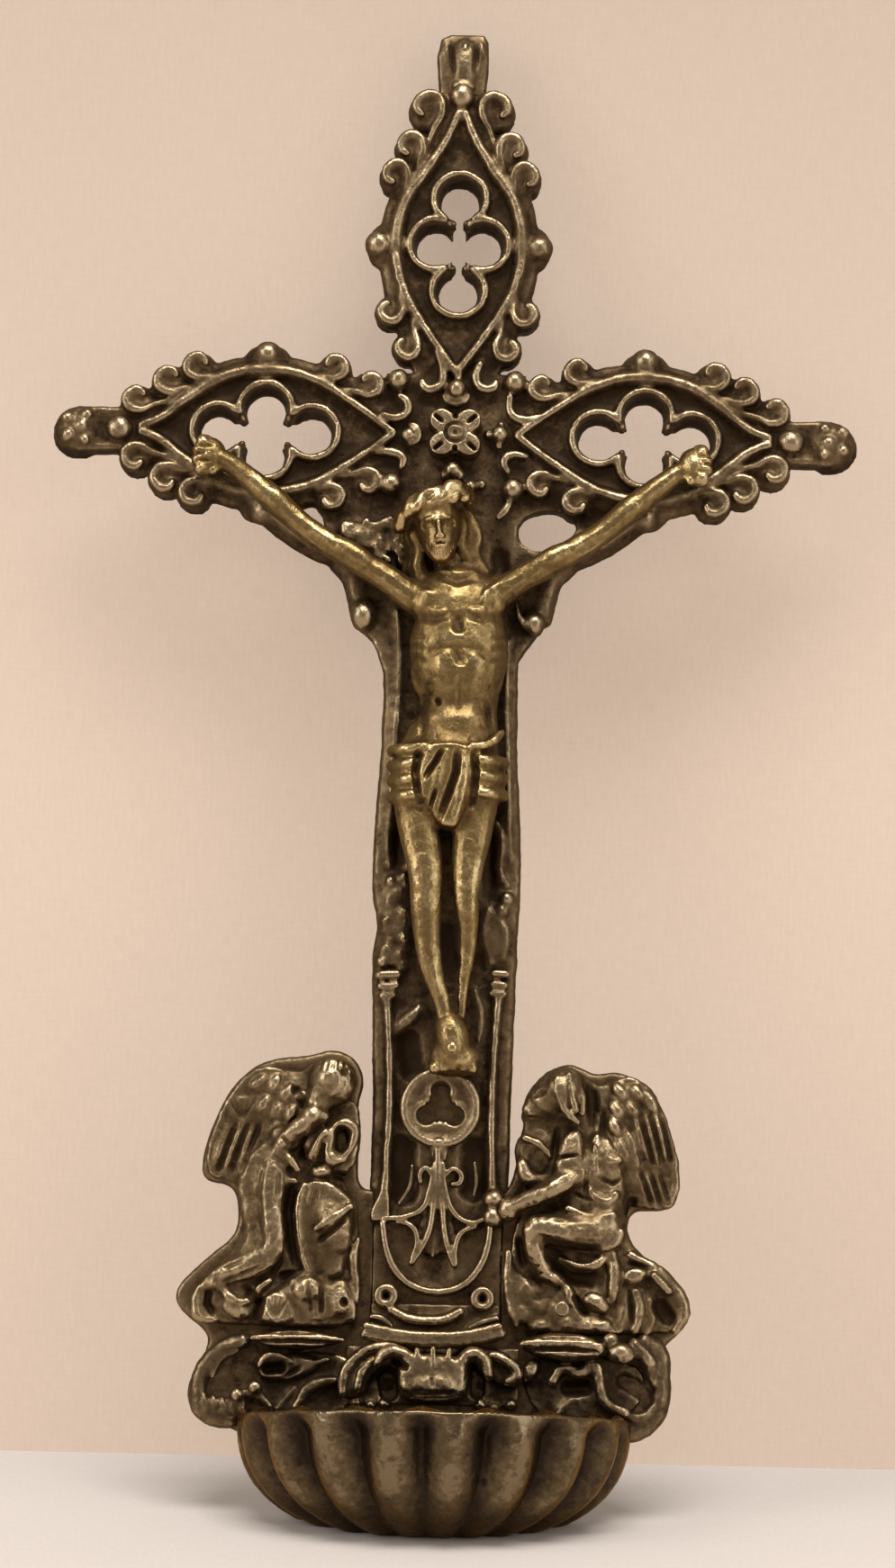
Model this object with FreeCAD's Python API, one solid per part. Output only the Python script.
import FreeCAD, Part
import math
import os

# Holy water stoup in cast brass: a pierced cross with a figure, two kneeling angels on a bracket, and a
# fluted bowl. Millimetres. The origin is on the flat back, behind the centre of the crossing. +Z runs up the
# cross, +X to the right as seen from the front, and the front faces -Y. A depth is how far a face stands out
# from the back.

# Depths of the cross plate
PANEL_DEPTH = 4.2        # sunk fields between the ribs
PLATE_DEPTH = 5.6        # lobed border
RIB_DEPTH = 7.0          # ribs, rims and scrolls
HOLLOW_DEPTH = 1.8       # relief in the back of the shaft

# Arms, along u from the crossing's centre and v to each side
SIDE_REACH = 80.5
TOP_REACH = 71.0         # to the seat of the hanging finial
ARM_TIP = 67.8
TIP_INSET = 0.15         # the upper arm's tip stops this far short of the finial's seat
TOP_STRETCH = (TOP_REACH - TIP_INSET) / ARM_TIP
ARM_HALF = 14.6
ARM_MIDDLE = 37.8
RIB_INNER_TIP = 11.6
RIB_OUTER_TIP = 64.0
RIB_HALF = 13.9
RIB_WIDTH = 1.9
LOBES = (                # u, v, radius
    (63.6, 5.7, 3.5), (57.2, 9.4, 3.6), (51.3, 12.6, 3.5), (24.2, 13.1, 3.4), (17.3, 9.8, 3.4),
)
BALL = (37.8, 16.3, 2.7)
BOSS_SHARE = 0.62        # a lobe's raised boss against the lobe
LOBE_SIDES = 10
BUTTON_RADIUS = 2.3
TIP_BUTTON_U = 66.9
ROOT_BUTTON_U = 8.9
NECK_HALF = 4.6
BULB_RADIUS = 5.4

# Quatrefoil window of an arm
FOIL_LONG = 9.2          # lobe centres along the arm
FOIL_SHORT = 4.5         # lobe centres across the arm
FOIL_RADIUS = 4.75
FOIL_NECK = 1.8          # half the opening between neighbouring lobes
RIM_WIDTH = 1.3

# Crossing
CROSSING_HALF = 14.2
CORNER_BALL = (11.4, 10.8, 2.3)
ROSETTE_REACH = 3.0      # centre of a petal from the rosette's centre, along x and z
PETAL_RADIUS = 2.5
ROSETTE_DEPTH = 9.0
ROSETTE_EYE = 1.5
STEM_RADIUS = 1.6
STEM_SEAT = 1.4          # the stem's blind hole stops this far from the back
FIT_GAP = 0.02           # radial clearance of every rivet, pin and stem in its hole

# Shaft
SHAFT_HALF = 12.8
SHAFT_FOOT = -176.5
SHAFT_WAVES = (-89.0, -107.0)
WAVE_RADIUS = 12.0
WAVE_SWELL = 0.9
COLUMN_X = 10.3
COLUMN_WIDTH = 1.8
COLUMN_TOP = -112.0
COLUMN_FOOT = -156.4
COLLAR_HEIGHT = 1.6
COLLAR_LIP = 0.6
WHEEL_Z = -134.2
WHEEL_RADIUS = 7.7
SHAFT_PANEL_TOP = -84.0
SHAFT_PANEL_FOOT = -171.5
HOLLOW_HALF = 8.6
HOLLOW_TOP = -22.0
HOLLOW_FOOT = -168.0

# Webs behind the figure's arms, from hand to shoulder
WEB_LINE = ((44.0, -11.7), (33.2, -19.5), (20.5, -24.5), (9.0, -32.0))
WEB_HALF = 3.4
SIDE_KNOB = (16.6, -38.4, 3.1)

# Figure
ARM_LINE = (
    (6.0, -32.2), (14.5, -28.8), (22.5, -25.2), (30.0, -20.4), (37.2, -14.4), (42.6, -9.4), (47.4, -7.0),
)
ARM_RADII = (3.8, 3.1, 2.6, 2.3, 2.5, 1.9, 1.8)
ARM_DEPTH = 9.6          # depth of the arm's centre line
HAND = (48.2, -6.8)
HAND_RADIUS = 2.7
HAND_DEPTH = 12.6
FOOT_NAIL = (2.0, -123.4)
NAIL_RADIUS = 0.8
NAIL_HEAD = 1.4

# Hanging finial
FINIAL_HALF = 5.0
FINIAL_RISE = 13.3       # above its seat on the upper arm
FINIAL_DEPTH = 8.4
NAIL_HOLE_RADIUS = 2.2
NAIL_HOLE_DEPTH = 4.8
NAIL_HOLE_RISE = 7.4     # above the seat
DOWEL_RADIUS = 1.2
DOWEL_DEPTH = 2.9
DOWEL_SINK = 6.0         # into the upper arm
DOWEL_RISE = 3.6         # into the finial

# Base plate and what stands on it
BASE_DEPTH = 4.0
SHELF_TOP = -176.7
SHELF_HEIGHT = 3.4
SHELF_DEPTH = 12.0
CORNICE_TOP = -171.8
CORNICE_STEPS = ((12.6, 9.4, 2.0), (13.6, 10.6, 2.3), (12.2, 8.2, 2.4))  # half width, depth, height
RIVET_RADIUS = 1.5
RIVET_HEAD = 2.6
RIVET_HEAD_HEIGHT = 1.2

# Bowl
BOWL_RIM_Z = -193.5
BOWL_RADIUS = 38.0
BOWL_HEIGHT = 23.4
BOWL_FULLNESS = 2.5      # 2 gives a quarter ellipse, more a squarer curve
BOWL_FLOOR_SHARE = 0.983
BOWL_WALL = 2.7
BOWL_BACK_WALL = 2.2
INSIDE_FLATS = 36
GADROONS = 9
FLUTE_ANGLE = 7.0
FLUTE_DEPTH = 1.0
GADROON_SWELL = 0.6
BOWL_RIVET_X = 14.0
BOWL_RIVET_Z = -201.5

FORWARD = FreeCAD.Vector(0, -1, 0)
CENTRE = FreeCAD.Vector(0, 0, 0)
LIMB_SIDES = 10          # flat sides of a modelled limb


def point(x, z, depth=0.0):
    return FreeCAD.Vector(x, -depth, z)


def path(start, steps, depth=0.0):
    """A closed wire. A step is a point for a straight line, or a pair (middle, end) for an arc."""
    here = point(*start, depth)
    edges = []
    for step in steps:
        if isinstance(step[0], tuple):
            middle, end = (point(*p, depth) for p in step)
            edges.append(Part.Arc(here, middle, end).toShape())
        else:
            end = point(*step, depth)
            edges.append(Part.LineSegment(here, end).toShape())
        here = end
    home = point(*start, depth)
    if here.distanceToPoint(home) > 1e-6:
        edges.append(Part.LineSegment(here, home).toShape())
    return Part.Wire(edges)


def slab(wire, front, back=0.0):
    """The wire, drawn at depth 0, as a straight-sided solid between two depths."""
    solid = Part.Face(wire).extrude(FORWARD * (front - back))
    solid.translate(FORWARD * back)
    return solid


def flat_face(corners):
    return Part.Face(Part.makePolygon(corners + corners[:1]))


def faceted(rings):
    """A flat-faced solid through rings of corners, all with the same number of corners."""
    faces = [flat_face(rings[0]), flat_face(rings[-1])]
    for lower, upper in zip(rings, rings[1:]):
        for index in range(len(lower)):
            a, b, c, d = lower[index - 1], lower[index], upper[index], upper[index - 1]
            if abs((b - a).cross(c - a).dot(d - a)) < 1e-7:
                faces.append(flat_face([a, b, c, d]))
            else:
                faces += [flat_face([a, b, c]), flat_face([a, c, d])]
    solid = Part.makeSolid(Part.makeShell(faces))
    if solid.Volume < 0:
        solid.reverse()
    return solid


def mound(corners, layers):
    """A relief in steps joined by slopes: each layer is (depth, scale about the outline's middle)."""
    flat = [point(x, z) for x, z in corners]
    middle = flat_face(flat).CenterOfMass
    return faceted([
        [middle + (p - middle) * scale + FORWARD * depth for p in flat] for depth, scale in layers
    ])


def boss(x, z, radius, front, back=0.0, sides=8, narrowing=0.0):
    """A flat-sided boss standing on the depth back."""
    turns = [2 * math.pi * (index + 0.5) / sides for index in range(sides)]
    return faceted([
        [point(x + reach * math.cos(t), z + reach * math.sin(t), depth) for t in turns]
        for depth, reach in ((back, radius), (front, radius - narrowing))
    ])


def rod(x, z, radius, front, back=0.0):
    return Part.makeCylinder(radius, front - back, point(x, z, back), FORWARD)


def pin(x, z, radius, front, back=0.0):
    """A hand-filed pin of twelve flats, or the hole for one."""
    return boss(x, z, radius, front, back, 12)


def block(x0, x1, z0, z1, front, back=0.0):
    return Part.makeBox(x1 - x0, front - back, z1 - z0, FreeCAD.Vector(x0, -front, z0))


def fused(solids):
    return solids[0].multiFuse(solids[1:]).removeSplitter()


def turned(shape, degrees):
    """The shape turned about the Y axis: +90 lays the upper arm out to +X."""
    copy = shape.copy()
    copy.rotate(CENTRE, FreeCAD.Vector(0, 1, 0), degrees)
    return copy


def limb(line, radii, flats=LIMB_SIDES):
    """A tapering member through points (x, z, depth), every section square to its whole run."""
    centres = [point(*p) for p in line]
    along = centres[-1] - centres[0]
    across = along.cross(FORWARD).normalize()
    upward = across.cross(along).normalize()
    turns = [2 * math.pi * (index + 0.5) / flats for index in range(flats)]
    return faceted([
        [centre + across * (radius * math.cos(t)) + upward * (radius * math.sin(t)) for t in turns]
        for centre, radius in zip(centres, radii)
    ])


def standing_form(sections, flats=LIMB_SIDES + 2):
    """A body through upright oval sections: each is (x, z, depth, half width, half thickness)."""
    turns = [2 * math.pi * (index + 0.5) / flats for index in range(flats)]
    return faceted([
        [point(x + wide * math.cos(t), z, depth + thick * math.sin(t)) for t in turns]
        for x, z, depth, wide, thick in sections
    ])


def save(name, shape):
    shape.exportStep(os.path.join("parts", name + ".step"))


# ---------------------------------------------------------------- cross plate

def lancet(inner_tip, outer_tip, half):
    middle = (inner_tip + outer_tip) / 2
    return path((0, inner_tip), (((half, middle), (0, outer_tip)), ((-half, middle), (0, inner_tip))))


def quatrefoil(middle, grow, front, back=0.0):
    """The window's outline as a solid, grown outwards by grow."""
    radius = FOIL_RADIUS + grow
    discs = [boss(0, middle + side * FOIL_LONG, radius, front, back, 16) for side in (-1, 1)]
    discs += [boss(side * FOIL_SHORT, middle, radius, front, back, 16) for side in (-1, 1)]
    neck = FOIL_NECK + grow
    return fused(discs + [block(-neck, neck, middle - FOIL_LONG, middle + FOIL_LONG, front, back)])


def button(x, z, radius=BUTTON_RADIUS):
    return boss(x, z, radius, RIB_DEPTH + 0.9, PANEL_DEPTH, 8, radius * 0.45)


def arm(stretch, round_end):
    """One arm, drawn along +Z, before its window is cut."""
    middle = ARM_MIDDLE * stretch
    solids = [slab(lancet(2.0, ARM_TIP * stretch, ARM_HALF), PLATE_DEPTH)]
    for u, v, radius in LOBES + (BALL,):
        solids += [boss(side * v, u * stretch, radius, PLATE_DEPTH, 0, LOBE_SIDES) for side in (-1, 1)]
    neck_top = SIDE_REACH - BULB_RADIUS if round_end else TOP_REACH
    solids.append(block(-NECK_HALF, NECK_HALF, 60 * stretch, neck_top, PLATE_DEPTH))
    if round_end:
        solids.append(boss(0, neck_top, BULB_RADIUS, PLATE_DEPTH, 0, 16))
        solids.append(boss(0, neck_top, BULB_RADIUS * 0.6, RIB_DEPTH, PANEL_DEPTH, 8, 0.8))
    solids.append(slab(lancet(RIB_INNER_TIP * stretch, RIB_OUTER_TIP * stretch, RIB_HALF), RIB_DEPTH))
    body = fused(solids)
    tips = ((RIB_INNER_TIP + RIB_WIDTH * 1.3) * stretch, (RIB_OUTER_TIP - RIB_WIDTH * 1.3) * stretch)
    body = body.cut(slab(lancet(*tips, RIB_HALF - RIB_WIDTH), RIB_DEPTH + 1, PANEL_DEPTH))
    details = [quatrefoil(middle, RIM_WIDTH, RIB_DEPTH - 0.4, PANEL_DEPTH - 1)]
    for u, v, radius in LOBES:
        share = radius * BOSS_SHARE
        for side in (-1, 1):
            details.append(boss(side * v, u * stretch, share, RIB_DEPTH, PANEL_DEPTH, 6, 0.6))
    u, v, radius = BALL
    details += [button(side * v, u * stretch, radius * 0.8) for side in (-1, 1)]
    details.append(button(0, TIP_BUTTON_U * stretch if round_end else TOP_REACH - 2.6))
    details.append(button(0, ROOT_BUTTON_U))
    return fused([body] + details)


def shaft():
    body = [block(-SHAFT_HALF, SHAFT_HALF, SHAFT_FOOT, -2.0, PLATE_DEPTH)]
    reach = SHAFT_HALF + WAVE_SWELL - WAVE_RADIUS
    for z in SHAFT_WAVES:
        body += [rod(side * reach, z, WAVE_RADIUS, PLATE_DEPTH) for side in (-1, 1)]
    x, z, radius = SIDE_KNOB
    for side in (-1, 1):
        body.append(boss(side * x, z, radius, PLATE_DEPTH, 0, LOBE_SIDES))
        body.append(button(side * x, z, radius - 0.8))
        body.append(block(*sorted((side * 8, side * x)), z - 2.4, z + 7.0, PLATE_DEPTH))
    inside = COLUMN_X - COLUMN_WIDTH / 2
    panel = block(-inside, inside, SHAFT_PANEL_FOOT, SHAFT_PANEL_TOP, PLATE_DEPTH + 1, PANEL_DEPTH)
    body = fused(body).cut(panel)
    columns = []
    for side in (-1, 1):
        edges = sorted((side * inside, side * (inside + COLUMN_WIDTH)))
        columns.append(block(*edges, COLUMN_FOOT, COLUMN_TOP, RIB_DEPTH, PANEL_DEPTH))
        wide = sorted((side * (inside - COLLAR_LIP), side * (inside + COLUMN_WIDTH + COLLAR_LIP)))
        for z in (COLUMN_TOP, COLUMN_TOP - 2.2 * COLLAR_HEIGHT, COLUMN_FOOT):
            columns.append(block(*wide, z, z + COLLAR_HEIGHT, RIB_DEPTH + COLLAR_LIP, PANEL_DEPTH))
    return fused([body] + columns)


def web(side):
    """The wall that carries one arm of the figure from the lancet down to the shaft."""
    solids = []
    for start, end in zip(WEB_LINE, WEB_LINE[1:]):
        run = math.hypot(end[0] - start[0], end[1] - start[1])
        across = (WEB_HALF * (end[1] - start[1]) / run, -WEB_HALF * (end[0] - start[0]) / run)
        corners = [
            (side * (p[0] + s * across[0]), p[1] + s * across[1])
            for p, s in ((start, 1), (end, 1), (end, -1), (start, -1))
        ]
        solids.append(slab(path(corners[0], corners[1:]), PLATE_DEPTH))
        solids.append(boss(side * start[0], start[1], WEB_HALF, PLATE_DEPTH, 0, LOBE_SIDES))
    return fused(solids)


def cross_plate():
    side_arm = arm(1.0, True)
    solids = [arm(TOP_STRETCH, False), turned(side_arm, 90), turned(side_arm, -90)]
    solids.append(block(-CROSSING_HALF, CROSSING_HALF, -CROSSING_HALF, CROSSING_HALF - 1, PLATE_DEPTH))
    solids += [shaft(), web(1), web(-1)]
    solids.append(slab(path((-12, -12), ((-27, -13), (-24, -24), (-12, -31))), PANEL_DEPTH + 0.4))
    x, z, radius = CORNER_BALL
    solids += [button(sx * x, sz * z, radius) for sx in (-1, 1) for sz in (-1, 1)]
    windows = [turned(quatrefoil(ARM_MIDDLE, 0, RIB_DEPTH + 1, -1), turn) for turn in (90, -90)]
    windows.append(quatrefoil(ARM_MIDDLE * TOP_STRETCH, 0, RIB_DEPTH + 1, -1))
    holes = [pin(0, 0, STEM_RADIUS + FIT_GAP, RIB_DEPTH + 2, STEM_SEAT), dowel(FIT_GAP)]
    holes += [pin(x, z, NAIL_RADIUS + FIT_GAP, RIB_DEPTH + 2, -1) for x, z in nail_places()]
    holes.append(block(-HOLLOW_HALF, HOLLOW_HALF, HOLLOW_FOOT, HOLLOW_TOP, HOLLOW_DEPTH, -1))
    return fused(solids).cut(Part.makeCompound(windows)).cut(Part.makeCompound(holes))


# ---------------------------------------------------------------- crossing and shaft ornament

def rosette():
    """Four petals round an eye, on a stem that is set in a blind hole in the plate."""
    petals = [
        boss(sx * ROSETTE_REACH, sz * ROSETTE_REACH, PETAL_RADIUS, ROSETTE_DEPTH, PLATE_DEPTH, 8, 0.6)
        for sx in (-1, 1) for sz in (-1, 1)
    ]
    flower = fused(petals + [boss(0, 0, PETAL_RADIUS + 0.9, ROSETTE_DEPTH - 0.6, PLATE_DEPTH)])
    flower = flower.cut(boss(0, 0, ROSETTE_EYE + 0.7, ROSETTE_DEPTH, ROSETTE_DEPTH - 1.4))
    eye = boss(0, 0, ROSETTE_EYE, ROSETTE_DEPTH, ROSETTE_DEPTH - 1.6, 8, 0.5)
    slit = block(2.6, 5.2, -0.45, 0.45, ROSETTE_DEPTH + 1, ROSETTE_DEPTH - 1)
    flower = flower.cut(Part.makeCompound([turned(slit, 45 + 90 * petal) for petal in range(4)]))
    return fused([flower, eye, pin(0, 0, STEM_RADIUS, PLATE_DEPTH, STEM_SEAT)])


def shaft_tracery(plate):
    """The trefoil wheel, the lily on its stem and the looped band at the shaft's foot."""
    back, front = PANEL_DEPTH, RIB_DEPTH + 0.2
    wheel = boss(0, WHEEL_Z, WHEEL_RADIUS, front, back, 16)
    wheel = wheel.cut(boss(0, WHEEL_Z, WHEEL_RADIUS - 1.5, front + 1, front - 1.0, 16))
    foils = [boss(x, WHEEL_Z + z, 2.3, front, back - 1) for x, z in ((0, 2.4), (-2.2, -1.7), (2.2, -1.7))]
    wheel = wheel.cut(Part.makeCompound(foils))
    half = (
        (0, -141.0), (2.2, -141.4), (1.0, -147.2), (2.4, -151.2), (5.0, -153.6), (8.4, -154.6),
        (8.4, -156.6), (5.6, -155.9), (3.6, -158.4), (3.6, -164.0), (2.2, -161.6), (1.4, -163.4),
        (0, -164.0),
    )
    lily = path(half[0], half[1:] + tuple((-x, z) for x, z in reversed(half[1:-1])))
    band = path((-10.9, COLUMN_FOOT), (
        (-9.6, -163.6), (-5.6, -169.4), (0.2, -171.3), (6.0, -168.4), (9.2, -163.4), (10.4, COLUMN_FOOT),
        (8.7, COLUMN_FOOT), (7.6, -162.8), (4.8, -167.2), (0.2, -169.6), (-4.4, -167.9), (-8.0, -163.0),
        (-9.3, COLUMN_FOOT)))
    curls = [boss(side * 2.5, -147.6, 1.5, front, back, 6) for side in (-1, 1)]
    link = block(-1.4, 1.4, -148.2, -146.6, front - 0.6, back)
    keel = block(-0.8, 0.8, -171.0, -163.0, front - 0.4, back)
    return fused([wheel, slab(lily, front, back), slab(band, front, back), link, keel] + curls).cut(plate)


# ---------------------------------------------------------------- figure

def nail_places():
    return ((-HAND[0], HAND[1]), HAND, FOOT_NAIL)


def head():
    """A bowed head under a plaited circlet, with hair down to the neck."""
    skull = standing_form((
        (-1.2, -29.4, 12.8, 1.7, 1.6), (-1.5, -26.4, 12.8, 3.6, 3.6), (-2.0, -22.0, 12.4, 4.6, 4.8),
        (-2.8, -17.6, 12.0, 4.6, 4.7), (-3.2, -14.4, 11.6, 2.6, 2.6)))
    circlet = standing_form((
        (-2.4, -19.6, 12.0, 5.6, 5.6), (-2.8, -17.8, 12.0, 6.3, 6.0), (-3.2, -16.0, 11.8, 5.2, 5.2)))
    hair = mound(
        ((-8.4, -19.0), (-9.0, -24.0), (-6.2, -31.6), (5.4, -31.6), (5.8, -24.0), (3.2, -18.0)),
        ((PLATE_DEPTH, 1.0), (9.6, 0.92), (11.6, 0.72)))
    return [skull, circlet, hair]


def trunk():
    body = standing_form((
        (0.6, -29.2, 8.6, 5.4, 3.6), (0.9, -33.0, 9.4, 10.0, 5.2), (1.6, -42.5, 10.0, 10.2, 6.6),
        (1.9, -50.0, 9.6, 9.0, 5.8), (1.6, -57.0, 8.8, 7.4, 4.8), (0.5, -66.0, 8.8, 10.2, 5.4)))
    cloth = standing_form((
        (0.3, -64.5, 9.0, 10.8, 6.2), (0.2, -70.0, 9.4, 11.4, 6.8), (0.1, -76.4, 9.0, 11.4, 6.2)))
    fall = mound(
        ((-3.6, -64.8), (5.0, -64.8), (5.2, -72.0), (2.4, -80.8), (-0.8, -79.0), (-4.6, -72.0)),
        ((8.8, 1.0), (16.2, 0.95), (17.2, 0.75)))
    return [body, cloth, fall]


def legs():
    left = (
        (-6.8, -72.0, 8.4), (-6.0, -84.0, 9.6), (-3.6, -93.4, 11.2), (-3.5, -99.0, 10.4),
        (-2.0, -110.0, 9.6), (-0.2, -118.5, 9.6),
    )
    right = (
        (6.8, -72.0, 8.4), (5.6, -84.0, 9.4), (3.6, -93.0, 10.6), (3.7, -99.0, 9.6), (3.4, -110.0, 7.8),
        (2.4, -118.0, 7.2),
    )
    feet = (
        (-1.6, -117.2), (1.6, -116.8), (5.0, -121.6), (6.4, -125.0), (5.0, -127.8), (-1.8, -129.0),
        (-2.7, -126.6),
    )
    return [
        limb(left, (4.2, 3.7, 2.8, 2.7, 1.9, 1.6)),
        limb(right, (4.2, 3.6, 2.7, 2.3, 1.5, 1.4)),
        mound(feet, ((PLATE_DEPTH, 1.0), (11.6, 0.95), (13.0, 0.75))),
    ]


def figure_arm(side):
    line = [(side * x, z, ARM_DEPTH) for x, z in ARM_LINE]
    x, z = HAND
    return [limb(line, ARM_RADII), boss(side * x, z, HAND_RADIUS, HAND_DEPTH, PANEL_DEPTH, 8, 0.6)]


def corpus(plate, tracery):
    """The figure, hollowed to sit on the plate, with nail holes through both hands and the feet."""
    body = fused(trunk() + legs() + head() + figure_arm(1) + figure_arm(-1))
    body = body.cut(block(-40, 40, -140, 0, PLATE_DEPTH, -5)).cut(plate).cut(tracery)
    holes = [pin(x, z, NAIL_RADIUS + FIT_GAP, 30, -1) for x, z in nail_places()]
    return body.cut(Part.makeCompound(holes))


def nails():
    """Rivets through both hands and the feet, closed flush with the back."""
    return [
        fused([pin(x, z, NAIL_RADIUS, front), boss(x, z, NAIL_HEAD, front + 0.9, front, 8, 0.5)])
        for (x, z), front in zip(nail_places(), (HAND_DEPTH, HAND_DEPTH, 13.0))
    ]


# ---------------------------------------------------------------- hanging finial

def dowel(gap=0.0):
    radius = DOWEL_RADIUS + gap
    foot, top = TOP_REACH - DOWEL_SINK, TOP_REACH + DOWEL_RISE
    return limb(((0, foot, DOWEL_DEPTH), (0, top, DOWEL_DEPTH)), (radius, radius))


def hanging_finial():
    """The squared end of the upper arm, with a blind nail hole in its back to hang the stoup by."""
    seat, top = TOP_REACH, TOP_REACH + FINIAL_RISE
    outline = path((-NECK_HALF, seat), (
        (NECK_HALF, seat), (FINIAL_HALF, seat + 7.0), (FINIAL_HALF, top - 1.7), (3.0, top), (-2.0, top),
        (-4.4, top - 1.3), (-FINIAL_HALF, top - 4.3)))
    face = mound(
        ((-2.6, seat + 2.0), (2.6, seat + 2.0), (3.4, top - 3.9), (1.6, top - 1.5), (-1.6, top - 1.5),
         (-3.2, top - 3.9)),
        ((PANEL_DEPTH, 1.0), (FINIAL_DEPTH, 0.75)))
    hole = rod(0, seat + NAIL_HOLE_RISE, NAIL_HOLE_RADIUS, NAIL_HOLE_DEPTH, -1)
    return fused([slab(outline, PLATE_DEPTH), face]).cut(hole).cut(dowel(FIT_GAP))


# ---------------------------------------------------------------- base plate, consoles and cornice

def base_plate():
    """The flat casting behind both angels and the bowl, with a slot that the shaft's foot drops into."""
    left = (
        (-16.0, -149.6), (-15.9, -143.0), (-15.2, -139.2), (-16.4, -134.2), (-14.8, -129.6), (-16.6, -124.9),
        (-21.0, -122.9), (-25.4, -124.3), (-31.8, -124.9), (-36.2, -126.6), (-41.0, -131.2), (-44.4, -139.4),
        (-45.9, -146.0), (-45.2, -149.0), (-39.6, -149.3), (-38.3, -153.6), (-38.6, -159.4), (-48.4, -167.8),
        (-50.2, -171.2), (-48.4, -174.8), (-43.0, -178.3), (-46.4, -185.8), (-47.2, -190.0), (-45.4, -194.2),
        (-41.4, -195.8), (-35.6, -197.6),
    )
    right = (
        (35.8, -197.8), (41.4, -195.8), (44.2, -192.4), (44.8, -188.0), (43.6, -179.0), (48.0, -175.4),
        (48.6, -171.6), (46.8, -168.0), (42.6, -164.0), (37.6, -161.0), (36.3, -157.0), (37.2, -152.8),
        (44.2, -153.0), (46.3, -150.0), (45.4, -141.6), (42.2, -133.0), (38.6, -128.1), (34.4, -126.1),
        (29.9, -127.0), (24.4, -124.8), (20.4, -126.4), (17.8, -130.4), (15.8, -133.5), (16.4, -136.8),
        (15.4, -139.6), (14.8, -146.0), (13.6, -149.6), (SHAFT_HALF, -149.6),
    )
    steps = left + (((0.0, -214.5), right[0]),) + right[1:]
    steps += ((SHAFT_HALF, SHAFT_FOOT), (-SHAFT_HALF, SHAFT_FOOT))
    plate = slab(path((-SHAFT_HALF, -149.6), steps), BASE_DEPTH)
    places = angel_rivet_places() + bowl_rivet_places()
    holes = [pin(x, z, RIVET_RADIUS + FIT_GAP, BASE_DEPTH + 1, -1) for x, z in places]
    return plate.cut(Part.makeCompound(holes))


def shelf(side):
    """The moulded shelf an angel kneels on."""
    middle = side * 24.6
    rings = []
    for drop, half, share in ((0.0, 10.0, 0.75), (0.35, 10.0, 1.0), (0.6, 10.0, 1.0), (1.0, 8.0, 0.8)):
        z = SHELF_TOP - drop * SHELF_HEIGHT
        front = BASE_DEPTH + (SHELF_DEPTH - BASE_DEPTH) * share
        rings.append([
            point(middle - half, z, BASE_DEPTH), point(middle + half, z, BASE_DEPTH),
            point(middle + half * 0.88, z, front), point(middle - half * 0.88, z, front)])
    return faceted(rings)


def console(side, tuck):
    """A scroll band round the base plate's lower lobe, a leaf under the shelf, and the shelf itself."""
    def sided(*corners):
        return [(side * x, z) for x, z in corners]

    band = sided(
        (33.0, -177.8), (37.6, -178.6), (42.2, -181.2), (45.2 - tuck, -185.0), (46.4 - tuck, -189.4),
        (44.6 - tuck, -193.4), (39.2, -195.2), (39.2, -192.2), (42.0 - tuck, -191.0), (42.8 - tuck, -188.4),
        (40.6, -184.6), (37.4, -182.4), (33.0, -180.8))
    leaf = sided(
        (20.0, -179.8), (31.5, -179.8), (33.2, -184.0), (31.0, -188.8), (36.6, -192.6), (30.0, -191.8),
        (27.4, -186.4), (24.6, -185.2), (22.0, -188.8))
    return fused([
        slab(path(band[0], band[1:]), BASE_DEPTH + 4.0, BASE_DEPTH),
        mound(leaf, ((BASE_DEPTH, 1.0), (BASE_DEPTH + 3.0, 0.9))),
        shelf(side),
    ])


def cornice():
    """Stepped moulding that ties the shaft's foot to the base plate."""
    solids = []
    top = CORNICE_TOP
    for half, depth, height in CORNICE_STEPS:
        solids.append(block(-half, half, top - height, top, depth, BASE_DEPTH))
        top -= height
    return fused(solids).cut(block(-20, 20, SHAFT_FOOT, CORNICE_TOP + 1, PLATE_DEPTH, 0))


def leaf_mask():
    """The leaf cluster that hangs over the bowl from the cornice."""
    half = (
        (3.4, -178.6), (8.8, -178.6), (12.4, -180.4), (15.8, -183.6), (17.0, -189.0), (14.2, -189.4),
        (12.6, -186.0), (9.8, -184.6), (7.4, -187.2), (3.0, -186.0),
    )
    middle = (
        (-5.6, -178.6), (5.8, -178.6), (6.6, -184.6), (5.4, -189.2), (0.0, -190.6), (-5.4, -189.2),
        (-6.8, -184.6),
    )
    leaves = [mound(middle, ((BASE_DEPTH, 1.0), (11.6, 0.98), (13.4, 0.8)))]
    for side in (-1, 1):
        corners = [(side * x, z) for x, z in half]
        leaves.append(mound(corners, ((BASE_DEPTH, 1.0), (10.0, 0.96), (11.6, 0.8))))
    return fused(leaves)


# ---------------------------------------------------------------- angels

def angel_rivet_places():
    return ((-31.0, -146.0), (-24.0, -172.4), (31.4, -146.0), (24.0, -172.4))


def quill(start, end, half=1.1, front=9.8):
    """One raised flight feather."""
    run = math.hypot(end[0] - start[0], end[1] - start[1])
    across = (half * (end[1] - start[1]) / run, -half * (end[0] - start[0]) / run)
    corners = [
        (p[0] + s * across[0], p[1] + s * across[1])
        for p, s in ((start, 1), (end, 1), (end, -1), (start, -1))
    ]
    return mound(corners, ((BASE_DEPTH, 1.0), (front, 0.8)))


def small_head(x, z, lean):
    return standing_form((
        (x + lean * 0.5, z - 5.0, 8.0, 2.0, 2.2), (x + lean * 0.4, z - 2.6, 8.4, 3.9, 3.6),
        (x, z + 0.6, 8.4, 4.5, 3.9), (x - lean * 0.3, z + 3.8, 8.0, 3.0, 2.8)), 8)


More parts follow.
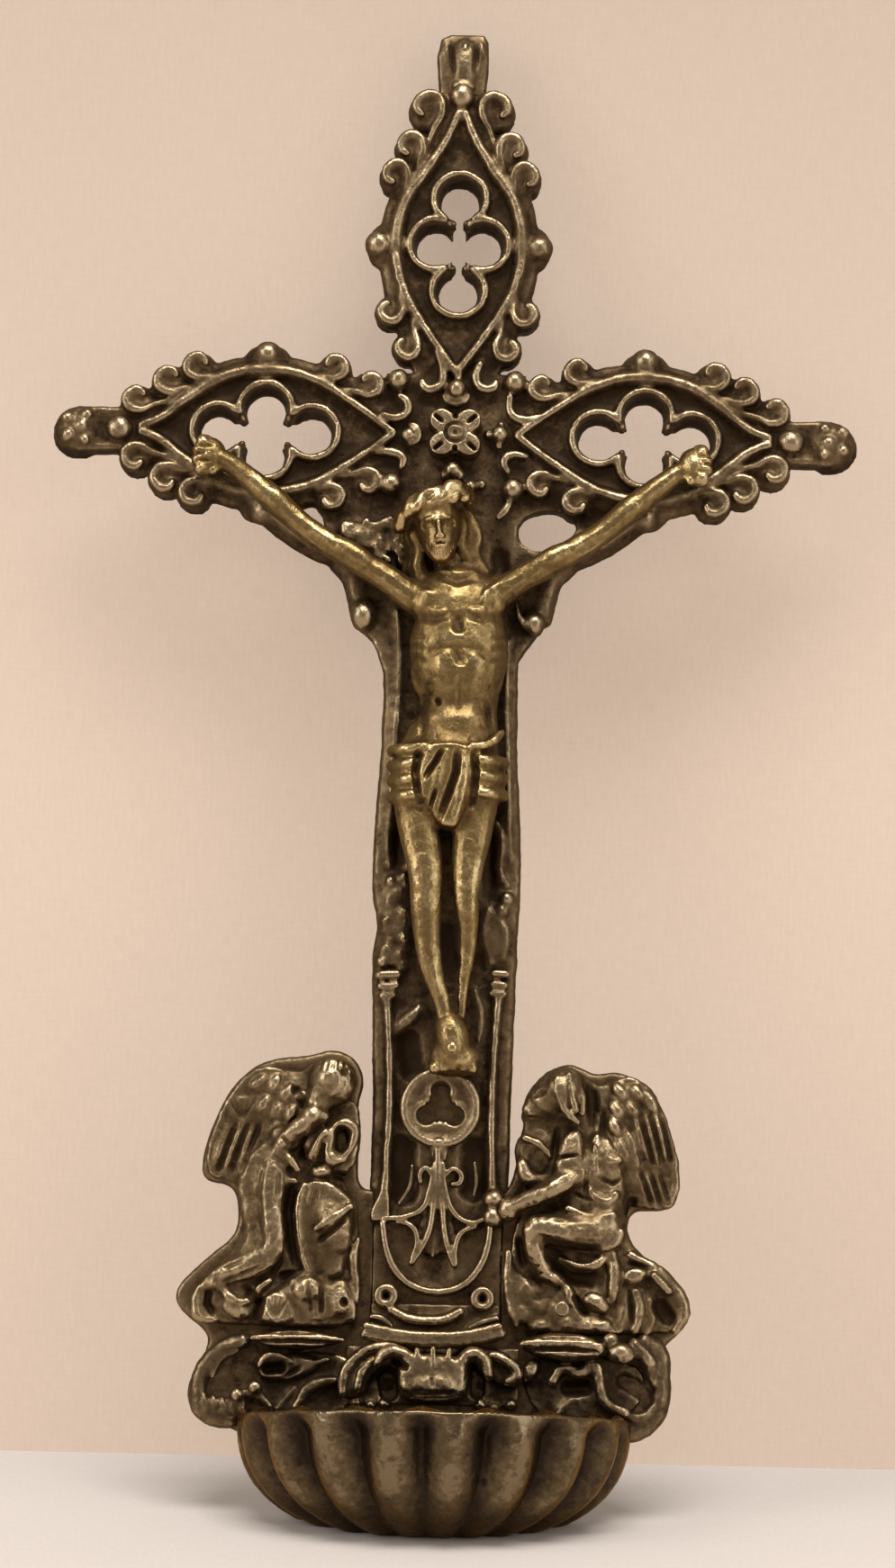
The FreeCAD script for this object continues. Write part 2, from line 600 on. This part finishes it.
def rock(side):
    corners = (
        (33.6, SHELF_TOP), (33.0, -172.6), (30.2, -169.4), (25.6, -166.2), (19.6, -167.4), (15.8, -167.6),
        (15.2, SHELF_TOP),
    )
    layers = ((BASE_DEPTH, 1.0), (10.0, 0.97), (11.4, 0.84))
    return mound([(side * x, z) for x, z in corners], layers)


def right_angel():
    wing = (
        (27.5, -131.4), (30.0, -127.8), (34.4, -126.8), (38.4, -128.8), (42.4, -134.4), (45.0, -142.0),
        (45.8, -149.6), (43.8, -152.4), (37.4, -152.2), (33.5, -146.5), (29.0, -139.5),
    )
    body = ((25.4, -134.0, 7.4), (26.4, -140.0, 8.4), (29.0, -147.0, 8.4), (31.6, -157.0, 8.0))
    return finished_angel([
        mound(wing, ((BASE_DEPTH, 1.0), (8.0, 0.94), (9.0, 0.8))),
        quill((36.4, -138), (39.2, -151)),
        quill((39.6, -137), (42.4, -150)),
        quill((34, -140), (36.6, -149)),
        small_head(23.6, -130.6, -1.6),
        limb(body, (2.6, 4.2, 4.0, 5.2), 8),
        limb(((25.0, -140.0, 10.0), (25.4, -148.6, 10.6)), (2.4, 2.3), 6),
        limb(((25.6, -148.4, 10.4), (19.4, -151.0, 9.6), (14.6, -154.2, 9.6)), (2.3, 1.7, 1.5), 6),
        limb(((31.6, -156.4, 8.4), (24.6, -155.6, 9.6), (18.2, -156.2, 9.6)), (4.6, 4.0, 3.2), 8),
        limb(((18.9, -154.0, 9.2), (19.6, -160.4, 8.4), (23.0, -171.0, 7.6)), (3.0, 2.4, 1.9), 8),
        limb(((30.4, -157.0, 7.6), (39.0, -166.6, 7.2), (44.6, -173.2, 6.8)), (4.2, 4.4, 3.0), 8),
        rock(1),
    ])


def left_angel():
    wing = (
        (-26.5, -129.5), (-28.0, -126.2), (-31.5, -125.4), (-35.6, -126.8), (-40.2, -131.4), (-43.8, -139.9),
        (-45.3, -146.6), (-44.4, -148.4), (-39.4, -148.8), (-35.0, -144.5), (-30.5, -137.0),
    )
    body = (
        (-24.0, -131.0, 7.2), (-28.2, -137.6, 8.2), (-31.0, -147.0, 8.6), (-31.2, -157.6, 8.6),
        (-30.4, -163.4, 8.4),
    )
    hands = (
        (-24.4, -140.6), (-22.4, -138.0), (-19.2, -138.2), (-17.8, -141.6), (-18.8, -145.2), (-22.8, -146.6),
    )
    knee = (
        (-25.4, -148.4), (-19.6, -149.4), (-16.2, -153.8), (-17.4, -162.4), (-20.2, -168.6), (-24.8, -168.0),
        (-29.0, -158.0),
    )
    return finished_angel([
        mound(wing, ((BASE_DEPTH, 1.0), (8.0, 0.94), (9.0, 0.8))),
        quill((-36, -134), (-40, -147)),
        quill((-39, -133), (-43, -145.5)),
        quill((-33.4, -136), (-36.6, -145)),
        small_head(-20.8, -128.4, 1.6),
        limb(body, (2.6, 3.9, 4.0, 3.6, 3.8), 8),
        limb(((-30.4, -138.6, 9.6), (-26.8, -145.8, 10.0)), (2.3, 2.2), 6),
        limb(((-27.4, -145.4, 9.8), (-21.6, -141.8, 9.6)), (2.2, 1.9), 6),
        mound(hands, ((BASE_DEPTH, 1.0), (9.6, 0.94), (10.8, 0.7))),
        limb(((-28.6, -161.0, 7.6), (-37.6, -165.8, 7.4), (-46.0, -172.2, 6.6)), (3.8, 4.2, 3.2), 8),
        mound(knee, ((BASE_DEPTH, 1.0), (10.6, 0.95), (12.2, 0.72))),
        rock(-1),
    ])


def finished_angel(solids):
    """Trims what lies behind the seat on the base plate or under the shelf, and drills the rivet holes."""
    seat = block(-60, 60, -230, -100, BASE_DEPTH, -20)
    below = block(-60, 60, -230, SHELF_TOP, 40, 0)
    column = block(-SHAFT_HALF, SHAFT_HALF, -180, -100, RIB_DEPTH + COLLAR_LIP, 0)
    holes = [pin(x, z, RIVET_RADIUS + FIT_GAP, BASE_DEPTH + 3.8, 0) for x, z in angel_rivet_places()]
    return fused(solids).cut(seat).cut(below).cut(column).cut(Part.makeCompound(holes))


def angel_rivets():
    return [pin(x, z, RIVET_RADIUS, BASE_DEPTH + 3.8) for x, z in angel_rivet_places()]


# ---------------------------------------------------------------- bowl

def bowl_rivet_places():
    return ((-BOWL_RIVET_X, BOWL_RIVET_Z), (BOWL_RIVET_X, BOWL_RIVET_Z))


def bowl_curve(radius, height, steps):
    """Points (radius, drop below the rim) down a full curve that ends at the edge of the flat floor."""
    points = []
    for index in range(steps + 1):
        share = BOWL_FLOOR_SHARE * math.sin(math.pi / 2 * index / steps)
        reach = radius * (1 - share ** BOWL_FULLNESS) ** (1 / BOWL_FULLNESS)
        points.append((reach, height * share / BOWL_FLOOR_SHARE))
    return points


def gadrooned_ring(radius, drop):
    """The bowl's outline at one level: gadroons that swell out, with hollow flutes between them."""
    pitch = 180.0 / GADROONS
    share = radius / BOWL_RADIUS
    turns = []
    for index in range(GADROONS):
        start = -90 + index * pitch
        if index > 0:
            turns.append((start, -GADROON_SWELL - FLUTE_DEPTH))
        turns.append((start + (FLUTE_ANGLE / 2 if index > 0 else 0), -GADROON_SWELL))
        turns.append((start + pitch / 2, 0))
        turns.append((start + pitch - (FLUTE_ANGLE / 2 if index < GADROONS - 1 else 0), -GADROON_SWELL))
    corners = []
    for degrees, grow in turns:
        angle = math.radians(degrees)
        reach = radius + grow * share
        depth = BASE_DEPTH + reach * math.cos(angle)
        corners.append(point(reach * math.sin(angle), BOWL_RIM_Z - drop, depth))
    return corners


def bowl():
    """Half-round gadrooned basin with its own flat back, open at the top."""
    outside = faceted([gadrooned_ring(*p) for p in bowl_curve(BOWL_RADIUS, BOWL_HEIGHT, 7)])
    curve = bowl_curve(BOWL_RADIUS - BOWL_WALL, BOWL_HEIGHT - BOWL_WALL, 6)
    turns = [2 * math.pi * index / INSIDE_FLATS for index in range(INSIDE_FLATS)]
    inside = faceted([
        [point(radius * math.cos(t), BOWL_RIM_Z - drop, BASE_DEPTH + radius * math.sin(t)) for t in turns]
        for radius, drop in [(curve[0][0], -1.0)] + curve
    ])
    back = BASE_DEPTH + BOWL_BACK_WALL
    inside = inside.cut(block(-60, 60, -240, -150, back, -60))
    holes = [pin(x, z, RIVET_RADIUS + FIT_GAP, back + 1, 0) for x, z in bowl_rivet_places()]
    return outside.cut(inside).cut(Part.makeCompound(holes))


def bowl_rivets():
    inner = BASE_DEPTH + BOWL_BACK_WALL
    rivets = []
    for x, z in bowl_rivet_places():
        head = boss(x, z, RIVET_HEAD, inner + RIVET_HEAD_HEIGHT, inner, 8, 0.7)
        rivets.append(fused([pin(x, z, RIVET_RADIUS, inner), head]))
    return rivets


def main():
    os.makedirs("parts", exist_ok=True)
    plate = cross_plate()
    tracery = shaft_tracery(plate)
    save("cross_plate", plate)
    save("crossing_rosette", rosette())
    save("shaft_tracery", tracery)
    save("corpus", corpus(plate, tracery))
    save("corpus_nails", Part.makeCompound(nails()))
    save("hanging_finial", hanging_finial())
    save("finial_dowel", dowel())
    save("base_plate", base_plate())
    save("left_console", console(-1, -0.6))
    save("right_console", console(1, 1.8))
    save("cornice", cornice())
    save("leaf_mask", leaf_mask())
    save("left_angel", left_angel())
    save("right_angel", right_angel())
    save("angel_rivets", Part.makeCompound(angel_rivets()))
    save("bowl", bowl())
    save("bowl_rivets", Part.makeCompound(bowl_rivets()))


main()
